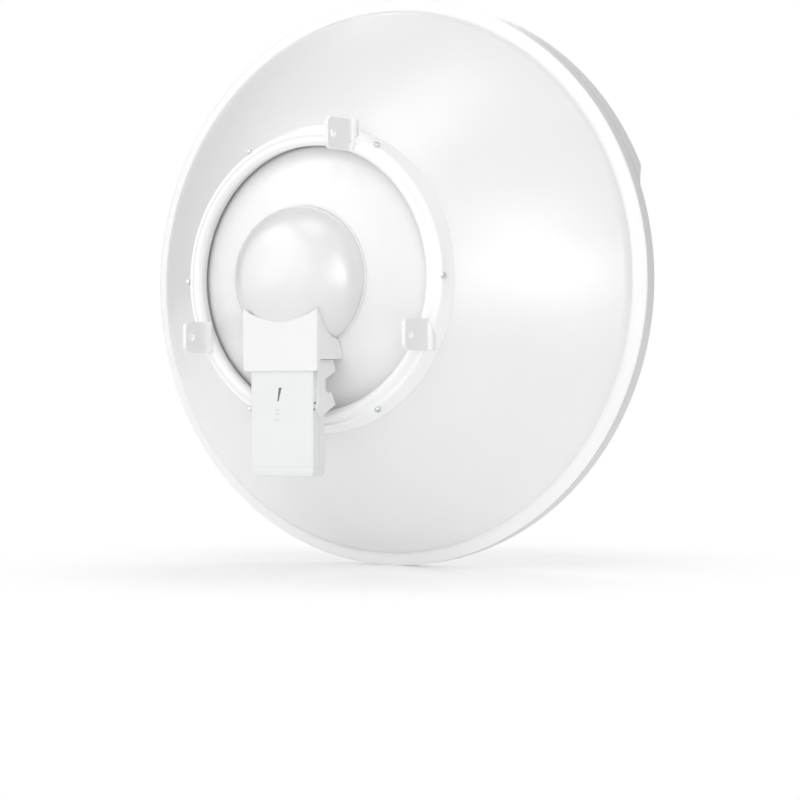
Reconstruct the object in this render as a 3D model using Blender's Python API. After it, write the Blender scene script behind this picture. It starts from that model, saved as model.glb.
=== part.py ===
"""Dish antenna: a deep reflector with its mounting ring and ears, feed and rear radio.

Metres, +Z up, +Y the way the dish looks. Shapes are worked out about the centre of the rim
plane, and an empty then moves everything so that the origin is on the top ear's flat face.
Depths are counted backwards (-Y) from the rim plane.
"""

import math

import bmesh
import bpy
from mathutils import Matrix, Vector

# Fits
GAP = 0.0003                    # between a piece and the one that carries it
SHEET = 0.002                   # aluminium sheet of the reflector and the mounting ring

# Reflector
RIM_RADIUS = 0.325
BOWL_DEPTH = 0.2122             # rim plane to the back of the vertex
FOCUS = 0.1182
HOLE_RADIUS = 0.034             # central hole that the feed tube passes through
BOWL_EDGE = 0.309               # where the bowl turns into the lip
HUB_EDGE = 0.1500               # inside this the hub lies forward of the bowl's outer curve
HUB_SHOULDER = 0.1590           # outer end of that step, which the mounting ring covers
HUB_DROP = 0.0115
HUB_STATIONS = 5
BOWL_STATIONS = 8
LIP_CURL = 0.0006               # how far the sheet's rear face turns past the rim plane
TURNED_STEPS = 72               # facets round the large turned pieces
SMALL_STEPS = 36

# Edge band and the deeper strip over the top of the rim
BAND_WALL = 0.0022
BAND_FRONT = 0.0195             # how far in front of the rim plane the band reaches
BAND_RETURN = 0.005             # width of its turned-in front edge
BAND_ROUND = 0.0008
STRIP_WALL = 0.0018
STRIP_FRONT = 0.0390
STRIP_START = 18.6              # degrees from +X towards +Z
STRIP_END = 161.4
STRIP_STEPS = 36
STRIP_SLANT = 3.55              # degrees by which its front edge is shorter at each end

# Mounting ring
RING_FOOT = 0.1700
RING_INNER = 0.1457
RING_LIP = (0.1474, 0.1579)     # radius and depth of its inner edge, just over the hub
RING_CREST = 0.1754
SCREW_COUNT = 6
SCREW_RADIUS = 0.1640
SCREW_DEPTH = 0.1665
SCREW_TILT = 21.5               # degrees from radial towards the back
HEAD_POINTS = 12
HEAD_ROUND = 0.0004
SCREW_HEAD = 0.0036
SCREW_HEIGHT = 0.0035
SOCKET_ACROSS = 0.0034
SOCKET_DEEP = 0.0018

# Ears
EAR_PLATE = 0.0045
EAR_HEIGHT = 0.034
EAR_BACK = 0.2140
EAR_ROOT = 0.160
EAR_FOOT = 0.008                # how far the foot stands out of the plate's face
EAR_FILLET = 0.004
EAR_CORNER = 0.0075
EAR_HOLE_RADIUS = 0.0055
EAR_HOLE_DEPTH = 0.2030
EAR_FACE_DEPTH = 0.1905         # where the flat face is measured
EAR_CLEAR_RADIUS = 0.1380       # the plates are cut away round the ring from here outwards
EAR_CLEAR_DEPTH = 0.150
EARS = {                        # name: x of the plate's right face, height of its middle
    "top_ear": (0.0500, 0.1550),
    "left_ear": (-0.1365, -0.0630),
    "right_ear": (0.1450, -0.0630),
}

# Rear dome, a flattened half ellipsoid
DOME_RADIUS = 0.0791
DOME_BULGE = 0.0545
DOME_CENTRE = 0.1905
DOME_WALL = 0.0025
FLANGE_RADIUS = 0.0815
FLANGE_THICK = 0.0020

# Cradle that carries the radio under the dome
LID_HALF = 0.0475
LID_BACK = 0.2335
LID_THICK = 0.0025
LID_TOP = -0.0340
LID_DIP = -0.0475               # lowest point of its hollowed top edge
LID_BOTTOM = -0.1010
LID_FLANGE = 0.0045
WALL_THICK = 0.0025
WALL_BOTTOM = -0.0885
WALL_STATIONS = 7
WALL_DOME_END = 0.1925          # depth where the wall leaves the dome for its base ring

# Radio
RADIO_HALF = 0.03975
RADIO_TOP = -0.0785
RADIO_BOTTOM = -0.2145
RADIO_THICK = 0.0240
RADIO_SPLIT = 0.0130            # depth of the rear shell
RADIO_CORNER = 0.005
DOOR_HEIGHT = 0.0100
EDGE_ROUND = 0.0012

# Bracket arms beside the radio, as depth and height pairs
ARM_THICK = 0.0025
ARM_OUTLINE = (
    (0.2240, -0.0888),
    (0.1915, -0.0888),
    (0.1881, -0.1013),
    (0.2107, -0.1110),
    (0.2107, -0.1217),
    (0.2027, -0.1250),
    (0.1966, -0.1240),
    (0.1885, -0.1380),
    (0.2191, -0.1505),
    (0.2271, -0.1405),
    (0.2240, -0.1335),
)
ARM_ROUND = 0.0005
WEB_THICK = 0.0025
WEB_TOP = -0.0885
WEB_BOTTOM = -0.1480

# Feed on the front of the bowl
TUBE_RADIUS = 0.0300
TUBE_WALL = 0.0030
TUBE_FRONT = 0.1120             # depth of its front end
TUBE_BACK = 0.2200              # depth of its back end, inside the dome
COLLAR_RADIUS = 0.0520
COLLAR_THICK = 0.0050
COLLAR_BORE_STEP = 0.0030       # depth of the rebate round the tube behind the collar
NECK_RADIUS = 0.0340
NECK_LENGTH = 0.0140
HEAD_RADIUS = 0.0440
HEAD_FRONT = 0.0700
HEAD_SKIRT = 0.0100
FEED_STEPS = 24
FEED_SCREWS = 4
FEED_SCREW_CIRCLE = 0.0430
FEED_SCREW_HEAD = 0.0032
FEED_SCREW_HEIGHT = 0.0022
FEED_SOCKET_ACROSS = 0.0030
FEED_SOCKET_DEEP = 0.0012

FINISHES = {                    # name: colour, roughness, metallic
    "white_powder_coat": ((0.80, 0.80, 0.80), 0.42, 0.0),
    "white_plastic": ((0.78, 0.78, 0.78), 0.38, 0.0),
    "radio_plastic": ((0.72, 0.75, 0.74), 0.40, 0.0),
    "zinc_steel": ((0.62, 0.62, 0.63), 0.35, 1.0),
}


def clear_scene():
    for thing in list(bpy.data.objects):
        bpy.data.objects.remove(thing, do_unlink=True)


def finish(name):
    """The named material, made the first time it is asked for."""
    found = bpy.data.materials.get(name)
    if found:
        return found
    colour, roughness, metallic = FINISHES[name]
    made = bpy.data.materials.new(name)
    made.use_nodes = True
    shader = made.node_tree.nodes["Principled BSDF"]
    shader.inputs["Base Color"].default_value = (*colour, 1.0)
    shader.inputs["Roughness"].default_value = roughness
    shader.inputs["Metallic"].default_value = metallic
    return made


def add_object(name, bm, finish_name, centre, smooth):
    """Turns a bmesh into an object that hangs on the dish's centre."""
    bmesh.ops.recalc_face_normals(bm, faces=bm.faces)
    mesh = bpy.data.meshes.new(name)
    bm.to_mesh(mesh)
    bm.free()
    if smooth:
        mesh.shade_smooth()
        mesh.set_sharp_from_angle(angle=math.radians(35))
    obj = bpy.data.objects.new(name, mesh)
    bpy.context.collection.objects.link(obj)
    obj.data.materials.append(finish(finish_name))
    obj.parent = centre
    return obj


# Profiles, as (radius, depth) pairs

def bowl_depth(radius):
    """Depth of the bowl's back: a paraboloid whose hub steps forward under the ring."""
    share = (HUB_SHOULDER - radius) / (HUB_SHOULDER - HUB_EDGE)
    drop = HUB_DROP * min(max(share, 0.0), 1.0)
    return BOWL_DEPTH - radius * radius / (4 * FOCUS) - drop


def on_bowl(radii, lift=0.0):
    """Points that stand a little way off the back of the bowl, along its normal."""
    points = []
    for radius in radii:
        slope = radius / (2 * FOCUS)
        scale = lift / math.hypot(1, slope)
        points.append((radius + slope * scale, bowl_depth(radius) + scale))
    return points


def spread(low, high, count):
    return [low + (high - low) * i / (count - 1) for i in range(count)]


def arc_points(centre, radius, start, end, count):
    """Points on an arc about (radius, depth) centre, with angles in degrees from +radius."""
    return [
        (
            centre[0] + radius * math.cos(math.radians(angle)),
            centre[1] + radius * math.sin(math.radians(angle)),
        )
        for angle in spread(start, end, count)
    ]


def offset(points, distance):
    """The open outline moved sideways by a distance, with mitred corners."""
    moved = []
    for i, point in enumerate(points):
        before = Vector(points[max(i - 1, 0)])
        after = Vector(points[min(i + 1, len(points) - 1)])
        here = Vector(point)
        normals = [
            Vector((-(b - a).y, (b - a).x)).normalized()
            for a, b in ((before, here), (here, after))
            if (b - a).length > 0
        ]
        mean = sum(normals, Vector((0, 0))).normalized()
        moved.append(tuple(here + mean * distance / mean.dot(normals[0])))
    return moved


def lip_points():
    """The back of the lip, from the bowl's edge to the rim."""
    edge_depth = bowl_depth(BOWL_EDGE)
    return [
        (BOWL_EDGE + 0.0022, edge_depth - 0.0024),
        (BOWL_EDGE + 0.0048, edge_depth - 0.0043),
        (BOWL_EDGE + 0.0085, edge_depth - 0.0063),
        (RIM_RADIUS - 0.0032, 0.0014),
        (RIM_RADIUS - 0.0010, 0.0003),
        (RIM_RADIUS, -LIP_CURL),
    ]


def ring_points():
    """The outside of the mounting ring, from its foot over the crest to its inner edge."""
    foot = (RING_FOOT, bowl_depth(RING_FOOT) + 2 * GAP)
    skirt = [(0.1672, 0.1580), (0.1645, 0.1652), (0.1632, 0.1685)]
    groove = [(0.1618, 0.1695), (0.1603, 0.1684), (0.1586, 0.1688)]
    crest = [(0.1570, 0.1706), (0.1552, 0.1733), (0.1527, 0.1750), (0.1500, RING_CREST)]
    inner = [(0.1474, 0.1742), (RING_INNER + 0.0002, 0.1713), (RING_INNER, 0.1680)]
    wall = [(0.1465, 0.1630), RING_LIP]
    return [foot] + skirt + groove + crest + inner + wall


def dome_points(radius, bulge, count, base_depth):
    """A half ellipse from its edge at base_depth to the tip on the axis."""
    lowest = math.asin((base_depth - DOME_CENTRE) / bulge)
    return [
        (radius * math.cos(angle), DOME_CENTRE + bulge * math.sin(angle))
        for angle in spread(lowest, math.pi / 2, count)
    ]


# Makers of solids

def turned(name, outline, steps, finish_name, centre):
    """A closed (radius, depth) outline turned about the dish's axis."""
    bm = bmesh.new()
    rows = [bm.verts.new((max(radius, 0.0), -depth, 0.0)) for radius, depth in outline]
    edges = [bm.edges.new((rows[i - 1], rows[i])) for i in range(len(rows))]
    bmesh.ops.spin(
        bm,
        geom=rows + edges,
        cent=(0, 0, 0),
        axis=(0, 1, 0),
        angle=2 * math.pi,
        steps=steps,
        use_merge=True,
    )
    bmesh.ops.remove_doubles(bm, verts=bm.verts, dist=1e-6)
    bmesh.ops.dissolve_degenerate(bm, dist=1e-7, edges=bm.edges)
    return add_object(name, bm, finish_name, centre, smooth=True)


def bridged(name, sections, finish_name, centre, smooth=False):
    """A solid through closed sections of like length, with a cap at both ends."""
    bm = bmesh.new()
    loops = [[bm.verts.new(point) for point in section] for section in sections]
    for first, second in zip(loops, loops[1:]):
        for i in range(len(first)):
            bm.faces.new((first[i - 1], first[i], second[i], second[i - 1]))
    bm.faces.new(loops[0])
    bm.faces.new(list(reversed(loops[-1])))
    return add_object(name, bm, finish_name, centre, smooth)


def plate_across(name, outline, low_x, high_x, finish_name, centre):
    """A flat plate square to X, from a (depth, height) outline."""
    sections = [[(x, -depth, z) for depth, z in outline] for x in (low_x, high_x)]
    return bridged(name, sections, finish_name, centre)


def plate_facing_back(name, outline, low_depth, high_depth, finish_name, centre):
    """A flat plate square to Y, from an (x, height) outline."""
    sections = [[(x, -depth, z) for x, z in outline] for depth in (low_depth, high_depth)]
    return bridged(name, sections, finish_name, centre)


def rounded_box_outline(half_width, low, high, corner, steps=4):
    """An (x, height) rectangle with round corners."""
    outline = []
    corners = (
        (half_width - corner, high - corner, 0),
        (-half_width + corner, high - corner, 90),
        (-half_width + corner, low + corner, 180),
        (half_width - corner, low + corner, 270),
    )
    for x, z, start in corners:
        outline += arc_points((x, z), corner, start, start + 90, steps)
    return outline


def soften(obj, width, segments=2):
    bevel = obj.modifiers.new("edge_round", "BEVEL")
    bevel.width = width
    bevel.segments = segments
    bevel.limit_method = "ANGLE"
    bevel.angle_limit = math.radians(50)


def cut(obj, cutter, name):
    """Takes the cutter out of an object and hides it from the render."""
    cutter.hide_render = True
    cutter.display_type = "WIRE"
    boolean = obj.modifiers.new(name, "BOOLEAN")
    boolean.operation = "DIFFERENCE"
    boolean.object = cutter


# Pieces

def make_reflector(centre):
    hub = on_bowl(spread(HOLE_RADIUS, HUB_EDGE, HUB_STATIONS))
    back = hub + on_bowl(spread(HUB_SHOULDER, BOWL_EDGE, BOWL_STATIONS)) + lip_points()
    front = offset(back, -SHEET)
    turned("reflector", back + front[::-1], TURNED_STEPS, "white_powder_coat", centre)


def make_edge_band(centre):
    outer = RIM_RADIUS
    inner = RIM_RADIUS - BAND_WALL
    start = -(LIP_CURL + SHEET + GAP)
    front = -BAND_FRONT
    outline = [
        (outer, start),
        (outer, front + BAND_ROUND),
        (outer - BAND_ROUND, front),
        (inner - BAND_RETURN, front),
        (inner - BAND_RETURN, front + BAND_WALL),
        (inner, front + BAND_WALL),
        (inner, start),
    ]
    turned("edge_band", outline, TURNED_STEPS, "white_powder_coat", centre)


def make_upper_strip(centre):
    """A curved strip in front of the band that makes the rim deeper over the top."""
    outer = RIM_RADIUS
    inner = RIM_RADIUS - STRIP_WALL
    low = BAND_FRONT + GAP
    sections = []
    for i in range(STRIP_STEPS + 1):
        share = i / STRIP_STEPS
        section = []
        base_angle = math.radians(STRIP_START + (STRIP_END - STRIP_START) * share)
        front_angle = base_angle + math.radians(STRIP_SLANT) * (1 - 2 * share)
        corners = (
            (outer, low, base_angle),
            (outer, STRIP_FRONT, front_angle),
            (inner, STRIP_FRONT, front_angle),
            (inner, low, base_angle),
        )
        for radius, forward, angle in corners:
            section.append((radius * math.cos(angle), forward, radius * math.sin(angle)))
        sections.append(section)
    bridged("upper_strip", sections, "white_powder_coat", centre, smooth=True)


def make_mounting_ring(centre):
    outside = ring_points()
    inside = offset(outside, SHEET)
    inside[0] = (RING_FOOT - 1.25 * SHEET, bowl_depth(RING_FOOT - 1.25 * SHEET) + 2 * GAP)
    turned("mounting_ring", outside + inside[::-1], TURNED_STEPS, "white_powder_coat", centre)


def socket_screw(name, head_radius, height, across, deep, centre):
    """A round head with a hexagon socket, standing along +Z from its own origin."""
    flat = across / 2
    corner = across / math.sqrt(3)
    levels = (
        (head_radius, head_radius, 0.0),
        (head_radius, head_radius, height - HEAD_ROUND),
        (head_radius - HEAD_ROUND, head_radius - HEAD_ROUND, height),
        (corner, flat, height),
        (corner, flat, height - deep),
    )
    sections = []
    for even_radius, odd_radius, z in levels:
        section = []
        for i in range(HEAD_POINTS):
            radius = odd_radius if i % 2 else even_radius
            angle = 2 * math.pi * i / HEAD_POINTS
            section.append((radius * math.cos(angle), radius * math.sin(angle), z))
        sections.append(section)
    return bridged(name, sections, "zinc_steel", centre)


def make_ring_screws(centre):
    tilt = math.radians(SCREW_TILT)
    for i in range(SCREW_COUNT):
        angle = 2 * math.pi * i / SCREW_COUNT
        outward = Vector((math.cos(angle), 0, math.sin(angle)))
        axis = outward * math.cos(tilt) + Vector((0, -1, 0)) * math.sin(tilt)
        name = f"ring_screw_{i + 1}"
        screw = socket_screw(name, SCREW_HEAD, SCREW_HEIGHT, SOCKET_ACROSS, SOCKET_DEEP, centre)
        seat = outward * SCREW_RADIUS + Vector((0, -SCREW_DEPTH, 0))
        screw.rotation_euler = axis.to_track_quat("Z", "X").to_euler()
        screw.location = seat + axis * GAP


def ear_outline():
    """Plan of a plate with its foot, as (x from the right face, depth) pairs."""
    foot_back = RING_CREST + GAP + EAR_PLATE
    fillet = arc_points((EAR_FILLET, foot_back + EAR_FILLET), EAR_FILLET, 180, 270, 5)
    return (
        [(-EAR_PLATE, EAR_ROOT), (-EAR_PLATE, EAR_BACK), (0.0, EAR_BACK)]
        + fillet
        + [(EAR_FOOT, foot_back), (EAR_FOOT, RING_CREST + GAP), (0.0, RING_CREST + GAP), (0.0, EAR_ROOT)]
    )


def make_ears(centre):
    hull = ring_points()
    seat = [(hull[0][0] + 0.002, hull[0][1] - 0.012)] + offset(hull, -GAP)[:-2]
    seat += [(EAR_CLEAR_RADIUS, seat[-1][1]), (EAR_CLEAR_RADIUS, EAR_CLEAR_DEPTH)]
    envelope = turned("ring_envelope", seat, TURNED_STEPS, "zinc_steel", centre)
    for name, (face_x, middle) in EARS.items():
        plan = ear_outline()
        sections = [
            [(face_x + x, -depth, middle + side * EAR_HEIGHT / 2) for x, depth in plan]
            for side in (-1, 1)
        ]
        ear = bridged(name, sections, "white_powder_coat", centre)
        corner_cutter, hole_cutter = ear_cutters(name, face_x, middle, centre)
        cut(ear, corner_cutter, "round_corners")
        cut(ear, hole_cutter, "bolt_hole")
        cut(ear, envelope, "cope_over_ring")


def ear_cutters(name, face_x, middle, centre):
    """What is taken off a plate: its two rear corners, and the bolt hole."""
    half = EAR_HEIGHT / 2
    clear = 0.004
    low_x = face_x - EAR_PLATE - clear
    high_x = face_x + clear
    round_from = EAR_BACK - EAR_CORNER
    beyond = EAR_BACK + 2 * clear
    corners = [(beyond, middle - half - clear), (beyond, middle + half + clear)]
    corners += [(round_from, middle + half + clear), (round_from, middle + half)]
    corners += arc_points((round_from, middle + half - EAR_CORNER), EAR_CORNER, 90, 0, 6)[1:]
    corners += arc_points((round_from, middle - half + EAR_CORNER), EAR_CORNER, 0, -90, 6)[:-1]
    corners += [(round_from, middle - half), (round_from, middle - half - clear)]
    hole = arc_points((EAR_HOLE_DEPTH, middle), EAR_HOLE_RADIUS, 0, 345, 24)
    return (
        plate_across(f"{name}_corner_cutter", corners, low_x, high_x, "zinc_steel", centre),
        plate_across(f"{name}_hole_cutter", hole, low_x, high_x, "zinc_steel", centre),
    )


def make_dome(centre):
    outside_base = bowl_depth(DOME_RADIUS) + 2 * GAP
    outside = dome_points(DOME_RADIUS, DOME_BULGE, 13, outside_base)
    inner_radius = DOME_RADIUS - DOME_WALL
    inside_base = bowl_depth(inner_radius) + 2 * GAP
    inside = dome_points(inner_radius, DOME_BULGE - DOME_WALL, 9, inside_base)
    turned("rear_dome", outside + inside[::-1], SMALL_STEPS, "white_plastic", centre)
    radii = (DOME_RADIUS + 2 * GAP, FLANGE_RADIUS)
    foot = on_bowl(radii, 1.5 * GAP)
    top = on_bowl(radii[::-1], FLANGE_THICK)
    turned("dome_base_ring", foot + top, SMALL_STEPS, "white_plastic", centre)


def dome_underside(depth, x):
    """Height of the dome's lower side at a depth and an x, or None where it isn't."""
    radius = DOME_RADIUS * math.sqrt(max(0.0, 1 - ((depth - DOME_CENTRE) / DOME_BULGE) ** 2))
    return -math.sqrt(radius * radius - x * x) if radius > x else None


def lid_outline():
    """The lid's (x, height) outline: its top edge is hollowed to clear the dome."""
    rise = LID_TOP - LID_DIP
    bend = (LID_HALF ** 2 + rise ** 2) / (2 * rise)
    half_angle = math.degrees(math.asin(LID_HALF / bend))
    hollow = arc_points((0, LID_DIP + bend), bend, 270 + half_angle, 270 - half_angle, 13)
    return hollow + [(-LID_HALF, LID_BOTTOM), (LID_HALF, LID_BOTTOM)]


def make_cradle(centre):
    lid = plate_facing_back(
        "cradle_lid", lid_outline(), LID_BACK - LID_THICK, LID_BACK, "white_plastic", centre
    )
    around = dome_points(DOME_RADIUS + 2 * GAP, DOME_BULGE + 2 * GAP, 13, DOME_CENTRE)
    envelope = turned("dome_envelope", around + [(0.0, DOME_CENTRE)], SMALL_STEPS, "zinc_steel", centre)
    cut(lid, envelope, "hollow_over_dome")
    for side, name in ((-1, "left"), (1, "right")):
        make_cradle_wall(side, name, centre)


def make_cradle_wall(side, name, centre):
    """A side wall from the lid to the bowl, hollowed over the dome and its base ring."""
    outer = LID_HALF - 0.0002
    inner = outer - WALL_THICK
    back = LID_BACK - LID_THICK - GAP
    rebate = LID_BACK - LID_THICK - LID_FLANGE
    ring_clear = FLANGE_RADIUS + FLANGE_THICK / 2
    ring_end = -math.sqrt(ring_clear ** 2 - inner ** 2)
    outline = [(back, LID_TOP - 0.0030)]
    for depth in spread(back - 0.004, WALL_DOME_END, WALL_STATIONS):
        outline.append((depth, min(LID_TOP - 0.0045, dome_underside(depth, inner) - 3 * GAP)))
    outline.append((bowl_depth(ring_clear) + FLANGE_THICK + 2 * GAP, ring_end))
    for height in spread(ring_end, WALL_BOTTOM, 3):
        outline.append((bowl_depth(math.hypot(inner, height)) + 3 * GAP, height))
    outline += [
        (rebate, WALL_BOTTOM),
        (rebate, LID_BOTTOM + 0.0006),
        (back, LID_BOTTOM + 0.0006),
    ]
    low_x, high_x = sorted((side * inner, side * outer))
    plate_across(f"cradle_{name}_wall", outline, low_x, high_x, "white_plastic", centre)


def make_bracket(centre):
    inner = RADIO_HALF + GAP
    for side, name in ((-1, "left"), (1, "right")):
        low_x, high_x = sorted((side * inner, side * (inner + ARM_THICK)))
        arm = plate_across(f"bracket_{name}_arm", ARM_OUTLINE, low_x, high_x, "white_plastic", centre)
        soften(arm, ARM_ROUND, 1)
    back = LID_BACK - LID_THICK - RADIO_THICK - 2 * GAP
    half = inner - GAP
    web = [(half, WEB_BOTTOM), (half, WEB_TOP), (-half, WEB_TOP), (-half, WEB_BOTTOM)]
    plate_facing_back("bracket_web", web, back - WEB_THICK, back, "white_plastic", centre)


def make_radio(centre):
    face = LID_BACK - LID_THICK - GAP
    split = face - RADIO_SPLIT
    low = RADIO_BOTTOM + DOOR_HEIGHT + GAP
    shell = rounded_box_outline(RADIO_HALF, low, RADIO_TOP, RADIO_CORNER)
    square_foot = shell[:8] + [(-RADIO_HALF, low), (RADIO_HALF, low)]
    rear = plate_facing_back("radio_rear_shell", square_foot, split, face, "radio_plastic", centre)
    front = plate_facing_back(
        "radio_front_shell", square_foot, face - RADIO_THICK, split - GAP, "radio_plastic", centre
    )
    door_top = RADIO_BOTTOM + DOOR_HEIGHT
    door = rounded_box_outline(RADIO_HALF, RADIO_BOTTOM, door_top, RADIO_CORNER)
    square_head = [(RADIO_HALF, door_top), (-RADIO_HALF, door_top)] + door[8:]
    port = plate_facing_back(
        "radio_port_door", square_head, face - RADIO_THICK, face, "radio_plastic", centre
    )
    for piece in (rear, front, port):
        soften(piece, EDGE_ROUND)


def make_feed(centre):
    tube = [
        (TUBE_RADIUS, TUBE_BACK),
        (TUBE_RADIUS, TUBE_FRONT),
        (TUBE_RADIUS - TUBE_WALL, TUBE_FRONT),
        (TUBE_RADIUS - TUBE_WALL, TUBE_BACK),
    ]
    turned("feed_tube", tube, FEED_STEPS, "white_plastic", centre)
    seat = on_bowl(spread(HOLE_RADIUS, COLLAR_RADIUS, 3))
    collar_foot = [(radius, depth - 2 * GAP - SHEET) for radius, depth in seat]
    collar_front = bowl_depth(HOLE_RADIUS) - SHEET - COLLAR_THICK
    collar = [(TUBE_RADIUS + GAP, bowl_depth(0) - SHEET - COLLAR_BORE_STEP)] + collar_foot
    collar += [
        (COLLAR_RADIUS, collar_front + 0.001),
        (COLLAR_RADIUS - 0.001, collar_front),
        (NECK_RADIUS + 0.002, collar_front),
        (NECK_RADIUS, collar_front - 0.002),
        (NECK_RADIUS, collar_front - NECK_LENGTH),
        (TUBE_RADIUS + GAP, collar_front - NECK_LENGTH),
    ]
    turned("feed_collar", collar, FEED_STEPS, "white_plastic", centre)
    back = TUBE_FRONT + HEAD_SKIRT
    head = [
        (TUBE_RADIUS + GAP, back),
        (HEAD_RADIUS - 0.004, back),
        (HEAD_RADIUS, back - 0.004),
        (HEAD_RADIUS, HEAD_FRONT + 0.012),
        (HEAD_RADIUS - 0.003, HEAD_FRONT + 0.005),
        (HEAD_RADIUS - 0.011, HEAD_FRONT + 0.001),
        (0.0, HEAD_FRONT),
        (0.0, TUBE_FRONT - GAP),
        (TUBE_RADIUS + GAP, TUBE_FRONT - GAP),
    ]
    turned("feed_head", head, FEED_STEPS, "white_plastic", centre)
    for i in range(FEED_SCREWS):
        angle = 2 * math.pi * (i + 0.5) / FEED_SCREWS
        screw = socket_screw(
            f"feed_screw_{i + 1}",
            FEED_SCREW_HEAD,
            FEED_SCREW_HEIGHT,
            FEED_SOCKET_ACROSS,
            FEED_SOCKET_DEEP,
            centre,
        )
        screw.rotation_euler = Vector((0, 1, 0)).to_track_quat("Z", "X").to_euler()
        screw.location = (
            FEED_SCREW_CIRCLE * math.cos(angle),
            -collar_front + GAP,
            FEED_SCREW_CIRCLE * math.sin(angle),
        )


def main():
    clear_scene()
    centre = bpy.data.objects.new("rim_centre", None)
    bpy.context.collection.objects.link(centre)
    face_x, middle = EARS["top_ear"]
    centre.matrix_world = Matrix.Translation((-face_x, EAR_FACE_DEPTH, -middle))
    make_reflector(centre)
    make_edge_band(centre)
    make_upper_strip(centre)
    make_mounting_ring(centre)
    make_ring_screws(centre)
    make_ears(centre)
    make_dome(centre)
    make_cradle(centre)
    make_bracket(centre)
    make_radio(centre)
    make_feed(centre)


main()
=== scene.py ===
import random
from math import asin, cos, degrees, hypot, pi, radians, sin, sqrt, tan

import bmesh
import bpy
from mathutils import Matrix, Quaternion, Vector


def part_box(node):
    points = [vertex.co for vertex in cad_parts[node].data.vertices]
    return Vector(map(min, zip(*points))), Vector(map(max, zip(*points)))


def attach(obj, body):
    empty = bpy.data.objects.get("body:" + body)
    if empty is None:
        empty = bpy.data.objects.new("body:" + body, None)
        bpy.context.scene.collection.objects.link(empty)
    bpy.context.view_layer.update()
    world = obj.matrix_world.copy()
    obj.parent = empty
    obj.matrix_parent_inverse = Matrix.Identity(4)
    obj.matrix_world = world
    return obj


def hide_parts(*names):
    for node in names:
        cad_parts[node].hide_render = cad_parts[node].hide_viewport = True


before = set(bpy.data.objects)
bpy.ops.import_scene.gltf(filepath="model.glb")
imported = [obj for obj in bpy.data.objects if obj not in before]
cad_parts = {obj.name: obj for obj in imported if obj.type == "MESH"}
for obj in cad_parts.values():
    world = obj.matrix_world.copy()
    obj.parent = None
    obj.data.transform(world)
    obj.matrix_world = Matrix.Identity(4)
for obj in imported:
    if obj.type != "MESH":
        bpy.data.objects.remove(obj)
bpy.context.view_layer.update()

# A deep white dish antenna seen from behind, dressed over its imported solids.
# Shapes are worked out about the centre of the rim plane: x to the right, y the way the dish
# looks, z up. Depths are counted backwards from the rim plane, as radius and depth pairs.

dish = {
    "rimRadius": 0.325,
    "sheet": 0.002,
    "bowlDepth": 0.2122,
    "focus": 0.1182,
    "holeRadius": 0.034,
    "hubEdge": 0.1500,
    "hubShoulder": 0.1590,
    "hubDrop": 0.0115,
    "bowlEdge": 0.309,
    "lipCurl": 0.0006,
    "bandFront": 0.0195,
    "steps": 192,
    "cornerSteps": 4,  # chords in each rounded corner
    "gap": 0.0003,
    "tight": 0.00005,  # joints that show no dark line
}

bandLow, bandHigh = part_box("edge_band")
rimCentre = Vector((
    (bandLow.x + bandHigh.x) / 2,
    bandHigh.y - dish["bandFront"],
    (bandLow.z + bandHigh.z) / 2,
))
floorHeight = bandLow.z
print("frame loaded, rim centre at", tuple(round(value, 4) for value in rimCentre))


# Colours and shader nodes

# turns an sRGB hex colour into the linear one that shaders take
def linearColour(hexText):
    shares = [int(hexText[i:i + 2], 16) / 255 for i in (1, 3, 5)]
    linear = [s / 12.92 if s <= 0.04045 else ((s + 0.055) / 1.055) ** 2.4 for s in shares]
    return (*linear, 1.0)


# sets a node's properties and sockets
def setUp(node, settings):
    for key, value in settings.items():
        if isinstance(key, str) and hasattr(node, key):
            setattr(node, key, value)
        else:
            node.inputs[key].default_value = value


# adds one node, sets it up, and feeds its sockets from other nodes
def addNode(tree, kind, settings=None, feeds=None):
    node = tree.nodes.new("ShaderNode" + kind)
    setUp(node, settings or {})
    for key, (source, output) in (feeds or {}).items():
        tree.links.new(source.outputs[output], node.inputs[key])
    return node


def perMetre(millimetres):
    return 1000 / millimetres


# a noise or grain of one size, in the piece's own coordinates
def grainAt(tree, place, millimetres, detail):
    settings = {"Scale": perMetre(millimetres), "Detail": detail}
    return addNode(tree, "TexNoise", settings, {"Vector": (place, "Object")})


# Finishes

# Polyester powder coat, sprayed dry on aluminium sheet and baked. It flows into a thin even
# skin with faint orange peel, so highlights are soft-edged with a clear sheen over them.
powderCoat = {
    "colour": "#F2F2F2",
    "shade": "#EBEBEC",
    "mottleMm": 90.0,
    "roughness": (0.32, 0.40),
    "ior": 1.55,
    "coat": 0.8,
    "coatRoughness": 0.26,
    "grainMm": 4.5,  # real orange peel, near 1.5 mm, is too fine for the picture
    "grainHeightMm": 0.035,
    "spinMm": 7.0,  # faint turns left by spinning the sheet over its former
    "spinHeightMm": 0.006,
}

# The same coat on the rolled band and the strip round the rim, painted greyer than the bowl as
# painted shade on their sides.
bandPaintedShadeCoat = dict(powderCoat, colour="#DADADA", shade="#D3D3D4", coat=0.15, spinHeightMm=0.0)

# The same coat on the pressed mounting ring, painted whiter than the bowl's as a painted highlight
# for the light on the ring.
ringPaintedHighlightCoat = dict(powderCoat, colour="#FBFBFB", shade="#F8F8F8", spinHeightMm=0.0)

# The same coat on the reflector's lip, painted whiter than the bowl as a painted highlight along
# the rim, and less glossy.
lipPaintedHighlight = dict(powderCoat, colour="#F8F8F8", shade="#F4F4F4", coat=0.2, spinHeightMm=0.0)

# The same coat on small pressed and welded steel parts, with no spinning marks.
earCoat = dict(powderCoat, colour="#EFEFEF", spinHeightMm=0.0, grainMm=3.0, grainHeightMm=0.05)

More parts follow.
